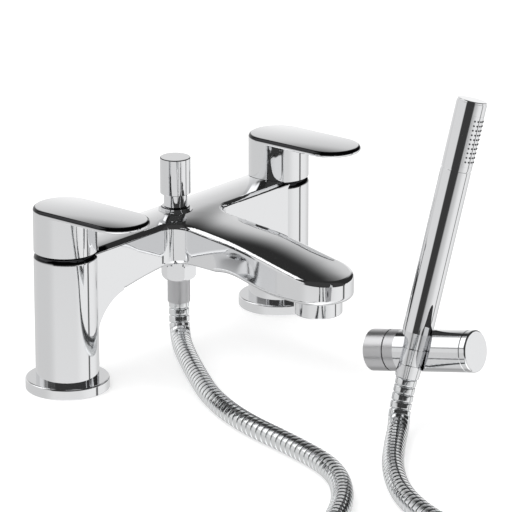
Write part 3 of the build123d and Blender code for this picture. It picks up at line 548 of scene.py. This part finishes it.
def finish(name, group, colour, roughness, spread, metallic=1, smear=60, grain=900, height=0):
    """Material of one colour whose roughness and grain come from the handled metal group."""
    material, tree, shader = new_material(name)
    shader.inputs["Metallic"].default_value = metallic
    shader.inputs["Base Color"].default_value = (*colour, 1)
    worn = use_group(
        tree, group, Roughness=roughness, Spread=spread, Smear_Scale=smear,
        Grain_Scale=grain, Grain_Height=height,
    )
    tree.links.new(worn.outputs["Roughness"], shader.inputs["Roughness"])
    if height > 0:
        tree.links.new(worn.outputs["Normal"], shader.inputs["Normal"])
    return material


def moulded(name, group, colour, roughness, spread, height=0.00002):
    """Rubber, plastic or ceramic with a fine grain."""
    return finish(
        name, group, colour, roughness, spread, metallic=0, grain=1500, height=height
    )


def crown_group():
    """Group that bends the shading of an upward face like a slightly domed top.

    The normal becomes unit(N + rise(N.z) * tilt), where tilt is a level vector in the
    object's own axes that grows with the distance from the middle of the face.
    """
    group, entry, leave = new_group(
        "crowned top", (("Tilt", "Vector", None),), (("Normal", "Vector", None),)
    )
    normal = group.nodes.new("ShaderNodeNewGeometry").outputs["Normal"]
    upward = smooth_step(group, separate(group, normal)[2], 0.55, 0.95)
    turned = group.nodes.new("ShaderNodeVectorTransform")
    turned.vector_type = "VECTOR"
    turned.convert_from = "OBJECT"
    turned.convert_to = "WORLD"
    group.links.new(entry.outputs["Tilt"], turned.inputs["Vector"])
    tilt = vector_maths(group, "SCALE", turned.outputs["Vector"], upward)
    domed = vector_maths(group, "NORMALIZE", vector_maths(group, "ADD", normal, tilt))
    group.links.new(domed, leave.inputs["Normal"])
    return group


def crown(material, group, tilt_maker, gain):
    """Give a material the crowned top, with the tilt that tilt_maker works out from x and y."""
    tree, shader = principled(material)
    coordinates = tree.nodes.new("ShaderNodeTexCoord")
    x, y, _ = separate(tree, coordinates.outputs["Object"])
    tilt_x, tilt_y = tilt_maker(tree, x, y, gain)
    tilt = tree.nodes.new("ShaderNodeCombineXYZ")
    tree.links.new(tilt_x, tilt.inputs["X"])
    tree.links.new(tilt_y, tilt.inputs["Y"])
    domed = use_group(tree, group, Tilt=tilt.outputs["Vector"])
    tree.links.new(domed.outputs["Normal"], shader.inputs["Normal"])


def casting_tilt(tree, x, y, gain):
    """Tilt across the spout, where y lies in front of the bridge, and across the bridge."""
    offset, bridge_gain = -0.03, 8.0
    spout = smooth_step(tree, y, -0.010, -0.034)
    bridge = maths(tree, "SUBTRACT", 1.0, spout)
    tilt_x = maths(tree, "MULTIPLY", maths(tree, "MULTIPLY_ADD", x, gain, offset), spout)
    tilt_y = maths(tree, "MULTIPLY", maths(tree, "MULTIPLY", y, bridge_gain), bridge)
    return tilt_x, tilt_y


def lever_tilt(tree, x, y, gain):
    """Tilt from the middle of either lever, along it and across it."""
    lever_middle, length_gain = 0.019, 3.0
    leg = maths(tree, "MULTIPLY", maths(tree, "SIGN", x), LEG_OFFSET)
    tilt_x = maths(tree, "MULTIPLY", maths(tree, "SUBTRACT", x, leg), gain)
    tilt_y = maths(tree, "MULTIPLY", maths(tree, "ADD", y, lever_middle), length_gain)
    return tilt_x, tilt_y


def shade_rims(material, colour, reach):
    """Painted dark reflection on rims: a dark colour stands in for the dark ceiling, which the
    rounded edge of a top shows with little else.

    The rims are where the normal is neither level nor upright. Reach holds the distances
    from the middle plane x = 0 between which they begin.
    """
    tree = material.node_tree
    coordinates = tree.nodes.new("ShaderNodeTexCoord")
    x = separate(tree, coordinates.outputs["Object"])[0]
    upright = separate(tree, coordinates.outputs["Normal"])[2]
    rim = product(
        tree,
        smooth_step(tree, upright, 0.08, 0.30),
        smooth_step(tree, upright, 0.985, 0.90),
        smooth_step(tree, maths(tree, "ABSOLUTE", x), *reach),
    )
    recolour(material, rim, colour, PAINTED_RIM_REFLECTION)


def darken_grooves(material, colour):
    """Painted shade: let a metal grow dark towards the bottom of its grooves, where little light
    comes in.
    """
    tree = material.node_tree
    groove = tree.nodes.new("ShaderNodeAttribute")
    groove.attribute_name = "groove"
    deep = smooth_step(tree, groove.outputs["Fac"], 0.12, 0.9)
    recolour(material, deep, colour, PAINTED_GROOVE_SHADE)


def satin_part(material, through, axis, colour, polished):
    """Satin finish on the side of a plane that lies against the axis, polished beyond it."""
    edge, added_roughness = 0.0002, 0.24
    tree, shader = principled(material)
    coordinates = tree.nodes.new("ShaderNodeTexCoord")
    along = vector_maths(tree, "DOT_PRODUCT", coordinates.outputs["Object"], axis)
    limit = sum(a * b for a, b in zip(through, axis))
    share = smooth_step(tree, along, limit + edge, limit - edge)
    recolour(material, share, polished, colour)
    worn = shader.inputs["Roughness"].links[0].from_socket
    rough = maths(tree, "MULTIPLY_ADD", share, added_roughness, worn)
    tree.links.new(rough, shader.inputs["Roughness"])


def finish_nodes(materials):
    """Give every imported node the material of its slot."""
    slots = {part["node"]: part["material_slot"] for part in frame["record"]["subparts"]}
    for node, slot in slots.items():
        piece = bpy.data.objects[node]
        for material_slot in piece.material_slots:
            material_slot.material = materials[slot]
        if not piece.material_slots:
            piece.data.materials.append(materials[slot])


class MIXER_OT_finishes(bpy.types.Operator):
    """Give every metal, rubber and plastic piece its finish"""

    bl_idname = "mixer.finishes"
    bl_label = "Finishes"

    def execute(self, context):
        look = context.scene.mixer_finish
        group = micro_wear_group()
        chrome = tuple(look.chrome)
        satin = tuple(look.satin)
        polish = look.polish
        metals = (
            ("chrome_casting", chrome, polish, 0.02, {}),
            ("chrome_trim", chrome, polish, 0.02, {"smear": 90}),
            ("chrome_lever", chrome, polish, 0.025, {"smear": 45}),
            ("chrome_handset", chrome, polish, 0.02, {"smear": 80}),
            ("chrome_bracket", chrome, polish + 0.02, 0.03, {"smear": 80}),
            ("hose_metal", chrome, 0.08, 0.05, {"smear": 200}),
            ("spray_face", chrome, polish + 0.02, 0.02, {"smear": 90}),
            ("satin_ferrule", satin, 0.34, 0.08, {"smear": 120, "grain": 1600, "height": 0.00002}),
            ("satin_rose", satin, 0.26, 0.06, {"smear": 90, "grain": 1600, "height": 0.00001}),
            ("steel_screw", satin, 0.25, 0.1, {}),
            ("steel_plate", satin, 0.32, 0.1, {}),
            ("bare_brass", BRASS_COLOUR, 0.28, 0.1, {"grain": 1200, "height": 0.00002}),
        )
        mouldings = (
            ("black_rubber", (0.025, 0.025, 0.026), 0.55, 0.15, {}),
            ("nozzle_rubber", (0.06, 0.06, 0.065), 0.5, 0.1, {}),
            ("insert_plastic", (0.62, 0.63, 0.64), 0.38, 0.1, {}),
            ("white_plastic", (0.8, 0.8, 0.8), 0.4, 0.1, {}),
            ("ceramic", (0.86, 0.86, 0.83), 0.12, 0.05, {"height": 0.000004}),
        )
        materials = {}
        for maker, rows in ((finish, metals), (moulded, mouldings)):
            for name, colour, roughness, spread, more in rows:
                materials[name] = maker(name, group, colour, roughness, spread, **more)
        # Painted shade in the hose's grooves
        darken_grooves(materials["hose_metal"], chrome)
        satin_part(materials["chrome_bracket"], BRACKET_MIDDLE, BRACKET_AXIS, satin, chrome)
        domed = crown_group()
        crown(materials["chrome_casting"], domed, casting_tilt, look.crown)
        crown(materials["chrome_lever"], domed, lever_tilt, look.crown)
        # Painted dark reflections on the rims of levers, casting and trim
        for name, reach in (
            ("chrome_lever", (0.05, 0.06)),
            ("chrome_casting", (0.0715, 0.0735)),
            ("chrome_trim", (0.02, 0.012)),
        ):
            shade_rims(materials[name], chrome, reach)
        finish_nodes(materials)
        return {"FINISHED"}


class MIXER_OT_hose(bpy.types.Operator):
    """Lay the metal hose from the mixer through its coil and up to the handset"""

    bl_idname = "mixer.hose"
    bl_label = "Hose"

    def execute(self, context):
        hose = context.scene.mixer_hose
        material = bpy.data.materials["hose_metal"]
        lead_in, coil_start, coil, coil_end, lead_out = coil_points(hose)
        route = np.vstack([MIXER_RUN, [lead_in, coil_start], coil, [coil_end]])
        line = spline_line("mixer hose line", route)
        mixer_hose, length = hose_tube("mixer_hose", line, hose, material)
        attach(mixer_hose, "mixer")
        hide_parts("hose_mixer_run", "hose_coil")
        route = np.vstack([[coil_end, lead_out], HANDSET_RUN[::-1], [HANDSET_TOP]])
        line = spline_line("handset hose line", route)
        handset_hose, length = hose_tube("handset_hose", line, hose, material)
        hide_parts("hose_handset_run")
        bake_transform(handset_hose)
        return {"FINISHED"}


def camera_axes(stage):
    """Right, up and back vectors of the camera."""
    turn, lift = stage.camera_azimuth, stage.camera_elevation
    back = Vector((-sin(turn) * cos(lift), -cos(turn) * cos(lift), sin(lift)))
    right = Vector((cos(turn), -sin(turn), 0))
    return right, back.cross(right), back


def studio_group(stage):
    """Group that gives the brightness of the studio in a direction.

    Polished metal shows little else. The floor and the back are pale, a dark screen stands
    in front, the ceiling is dark and a softbox hangs high on the left.
    """
    group, entry, leave = new_group(
        "studio levels", (("Direction", "Vector", None),), (("Level", "Float", None),)
    )
    direction = entry.outputs["Direction"]
    turn = stage.camera_azimuth

    def step(value, low, high):
        return smooth_step(group, value, low, high)

    right = vector_maths(group, "DOT_PRODUCT", direction, (cos(turn), -sin(turn), 0))
    depth = vector_maths(group, "DOT_PRODUCT", direction, (sin(turn), cos(turn), 0))
    height = vector_maths(group, "DOT_PRODUCT", direction, (0, 0, 1))
    squares = maths(
        group, "ADD", maths(group, "MULTIPLY", right, right), maths(group, "MULTIPLY", depth, depth)
    )
    flat = maths(group, "MAXIMUM", maths(group, "SQRT", squares), 0.02)
    side = maths(group, "DIVIDE", right, flat)
    ahead = maths(group, "DIVIDE", depth, flat)
    drop = maths(group, "MAXIMUM", maths(group, "MULTIPLY", height, -1.0), 0.0)
    rise = maths(group, "MAXIMUM", height, 0.0)

    # Below the horizon: pale floor, brighter to the right, with a dark screen and a dark strip
    front_floor = maths(group, "MULTIPLY_ADD", drop, FRONT_FLOOR[1], FRONT_FLOOR[0])
    back_floor = maths(group, "MULTIPLY_ADD", drop, BACK_FLOOR[1], BACK_FLOOR[0])
    floor = paint(group, front_floor, step(ahead, -0.2, 0.3), back_floor)
    floor = paint(group, floor, step(side, 0.55, 0.95), RIGHT_FLOOR)
    floor = paint(group, floor, step(side, -0.55, -0.95), LEFT_FLOOR)
    screen = product(
        group, step(side, -0.72, -0.60), step(ahead, 0.1, -0.1), step(height, -0.14, -0.10)
    )
    floor = paint(group, floor, screen, SCREEN)
    strip = product(
        group, step(side, 0.5, 0.8), step(ahead, -0.09, -0.06), step(ahead, 0.07, 0.04)
    )
    floor = paint(group, floor, strip, STRIP)

    # Above it: pale back, dark ceiling and dark right side, pale wall and softbox on the left
    upper = maths(group, "MULTIPLY_ADD", rise, BACK_WALL[1], BACK_WALL[0])
    upper = paint(group, upper, step(height, 0.38, 0.66), CEILING)
    upper = paint(group, upper, step(ahead, 0.15, -0.1), FRONT_CEILING)
    upper = paint(group, upper, step(right, 0.25, 0.45), CEILING)
    left_wall = product(
        group, step(side, -0.60, -0.72), step(height, 0.36, 0.26), step(ahead, 0.6, 0.3)
    )
    upper = paint(group, upper, left_wall, LEFT_WALL)
    softbox = product(
        group,
        step(right, -0.34, -0.44), step(right, -0.97, -0.90),
        step(depth, 0.50, 0.40), step(depth, -0.30, -0.20),
        step(height, 0.32, 0.40), step(height, 0.90, 0.84),
    )
    upper = paint(group, upper, softbox, SOFTBOX)
    upper = paint(group, upper, screen, SCREEN)

    level = paint(group, floor, step(height, -0.01, 0.01), upper)
    level = maths(group, "MULTIPLY", level, stage.mirror_gain)
    group.links.new(level, leave.inputs["Level"])
    return group


def studio_world(stage, levels):
    """World with the studio that polished metal sees, and an even light for the rest."""
    world = bpy.data.worlds.new("studio")
    bpy.context.scene.world = world
    world.use_nodes = True
    tree = world.node_tree
    tree.nodes.clear()
    output = tree.nodes.new("ShaderNodeOutputWorld")
    coordinates = tree.nodes.new("ShaderNodeTexCoord")
    studio = use_group(tree, levels, Direction=coordinates.outputs["Generated"])
    path = tree.nodes.new("ShaderNodeLightPath")
    plain, seen, mirrored = (tree.nodes.new("ShaderNodeBackground") for _ in range(3))
    for light in (plain, seen, mirrored):
        light.inputs["Color"].default_value = (*WHITE, 1)
    plain.inputs["Strength"].default_value = stage.even_light
    seen.inputs["Strength"].default_value = 1
    tree.links.new(studio.outputs["Level"], mirrored.inputs["Strength"])
    first = tree.nodes.new("ShaderNodeMixShader")
    second = tree.nodes.new("ShaderNodeMixShader")
    tree.links.new(path.outputs["Is Glossy Ray"], first.inputs[0])
    tree.links.new(plain.outputs[0], first.inputs[1])
    tree.links.new(mirrored.outputs[0], first.inputs[2])
    tree.links.new(path.outputs["Is Camera Ray"], second.inputs[0])
    tree.links.new(first.outputs[0], second.inputs[1])
    tree.links.new(seen.outputs[0], second.inputs[2])
    tree.links.new(second.outputs[0], output.inputs["Surface"])


def studio_floor(stage, levels):
    """Pale floor that keeps the object's shadow and shows as white.

    Polished metal sees the studio's floor levels on it, as a glow that the floor gives to glossy
    rays.
    """
    half = stage.floor_size / 2
    corners = np.array([[(x, y, 0) for y in (-half, half)] for x in (-half, half)])
    mesh = grid_mesh("floor", corners)
    material, tree, shader = new_material("pale floor")
    shader.inputs["Base Color"].default_value = (*FLOOR_COLOUR, 1)
    shader.inputs["Roughness"].default_value = 0.9
    shader.inputs["Specular IOR Level"].default_value = 0.0
    shader.inputs["Emission Color"].default_value = (*WHITE, 1)
    path = tree.nodes.new("ShaderNodeLightPath")
    seen = maths(
        tree, "MAXIMUM", path.outputs["Is Camera Ray"], path.outputs["Is Transmission Ray"]
    )
    lift = maths(tree, "MULTIPLY", seen, stage.floor_lift)
    tree.links.new(lift, shader.inputs["Emission Strength"])
    geometry = tree.nodes.new("ShaderNodeNewGeometry")
    onward = vector_maths(tree, "SCALE", geometry.outputs["Incoming"], -1.0)
    studio = use_group(tree, levels, Direction=onward)
    mirrored = tree.nodes.new("ShaderNodeEmission")
    mirrored.inputs["Color"].default_value = (*WHITE, 1)
    tree.links.new(studio.outputs["Level"], mirrored.inputs["Strength"])
    choose = tree.nodes.new("ShaderNodeMixShader")
    output = next(node for node in tree.nodes if node.type == "OUTPUT_MATERIAL")
    tree.links.new(path.outputs["Is Glossy Ray"], choose.inputs[0])
    tree.links.new(shader.outputs["BSDF"], choose.inputs[1])
    tree.links.new(mirrored.outputs["Emission"], choose.inputs[2])
    tree.links.new(choose.outputs["Shader"], output.inputs["Surface"])
    floor = place("floor", mesh, material)


def studio_camera(stage):
    """Camera that looks at the target from the photo's direction."""
    right, up, back = camera_axes(stage)
    target = right * stage.target_right + up * stage.target_up
    spot = target + back * stage.camera_distance
    data = bpy.data.cameras.new("camera")
    data.sensor_width = 36
    frame_width = PICTURE_WIDTH / (stage.camera_scale * 1000)
    data.lens = data.sensor_width * stage.camera_distance / frame_width
    data.clip_end = 100
    camera = bpy.data.objects.new("camera", data)
    axes = Matrix((right, up, back)).transposed().to_4x4()
    camera.matrix_world = Matrix.Translation(spot) @ axes
    bpy.context.scene.collection.objects.link(camera)
    bpy.context.scene.camera = camera


def key_light(stage):
    """Softbox that faces the mixer; polished metal shows the studio's softbox in its place."""
    data = bpy.data.lights.new("key softbox", "AREA")
    data.shape = "RECTANGLE"
    data.size, data.size_y = stage.softbox_size
    data.energy = stage.softbox_power
    lamp = bpy.data.objects.new("key softbox", data)
    spot = Vector(stage.softbox_place)
    facing = spot.to_track_quat("Z", "Y").to_matrix().to_4x4()
    lamp.matrix_world = Matrix.Translation(spot) @ facing
    lamp.visible_glossy = False
    bpy.context.scene.collection.objects.link(lamp)


class MIXER_OT_stage(bpy.types.Operator):
    """Set the camera, the studio light and the floor"""

    bl_idname = "mixer.stage"
    bl_label = "Stage"

    def execute(self, context):
        stage = context.scene.mixer_stage
        context.scene.view_settings.view_transform = "Standard"
        studio_camera(stage)
        levels = studio_group(stage)
        studio_world(stage, levels)
        studio_floor(stage, levels)
        key_light(stage)
        return {"FINISHED"}


class MIXER_PT_panel(bpy.types.Panel):
    """Buttons for the mixer's finishes, hose and stage"""

    bl_label = "Mixer"
    bl_space_type = "VIEW_3D"
    bl_region_type = "UI"
    bl_category = "Mixer"

    def draw(self, context):
        for name in ("mixer.stage", "mixer.finishes", "mixer.hose"):
            self.layout.operator(name)


CLASSES = (
    HoseSettings, FinishSettings, StageSettings,
    MIXER_OT_finishes, MIXER_OT_hose, MIXER_OT_stage, MIXER_PT_panel,
)


def register():
    """Register the classes and hang their settings on the scene."""
    for each in CLASSES:
        bpy.utils.register_class(each)
    bpy.types.Scene.mixer_hose = PointerProperty(type=HoseSettings)
    bpy.types.Scene.mixer_finish = PointerProperty(type=FinishSettings)
    bpy.types.Scene.mixer_stage = PointerProperty(type=StageSettings)


def unregister():
    """Take the settings and the classes away again."""
    del bpy.types.Scene.mixer_hose
    del bpy.types.Scene.mixer_finish
    del bpy.types.Scene.mixer_stage
    for each in reversed(CLASSES):
        bpy.utils.unregister_class(each)


def main():
    """Build the whole scene."""
    register()
    bpy.ops.mixer.stage()
    bpy.ops.mixer.finishes()
    bpy.ops.mixer.hose()


if __name__ == "__main__":
    main()
